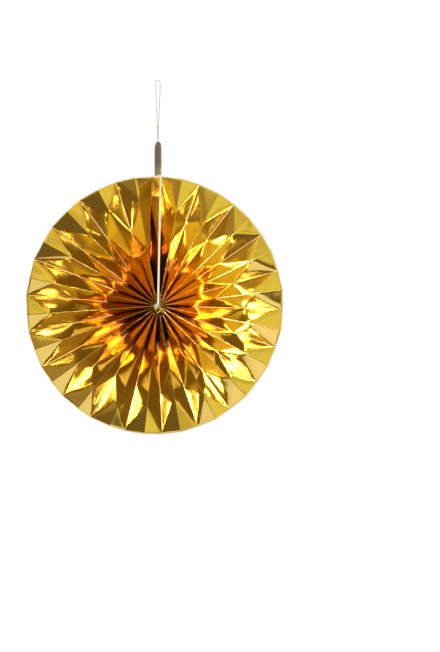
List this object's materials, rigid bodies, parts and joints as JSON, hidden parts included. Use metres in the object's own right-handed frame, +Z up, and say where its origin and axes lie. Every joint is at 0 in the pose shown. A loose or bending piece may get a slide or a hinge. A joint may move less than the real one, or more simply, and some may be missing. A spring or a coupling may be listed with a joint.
{
  "type": "paper fan rosette",
  "caption": "Round hanging rosette of pleated gold foil paper, closed at a seam of stuck card strips that end in a tab with a thread loop.",
  "frame": {"origin": "top of the hanging loop", "axes": "+Z up along the hanging thread, +X to the right as seen from the front, +Y to the back through the rosette"},
  "size_m": [0.3176, 0.0313, 0.4338],
  "materials": {
    "foil": "gold foil paper",
    "card": "grey-brown card",
    "tape": "double-sided tape",
    "thread": "twisted cotton thread"
  },
  "bodies": {
    "root": {"foil_paper": "foil", "card_strip_left": "card", "card_strip_right": "card", "card_tape": "tape", "binding_thread": "thread", "hanging_thread": "thread", "thread_knot": "thread"}
  },
  "joints": []
}
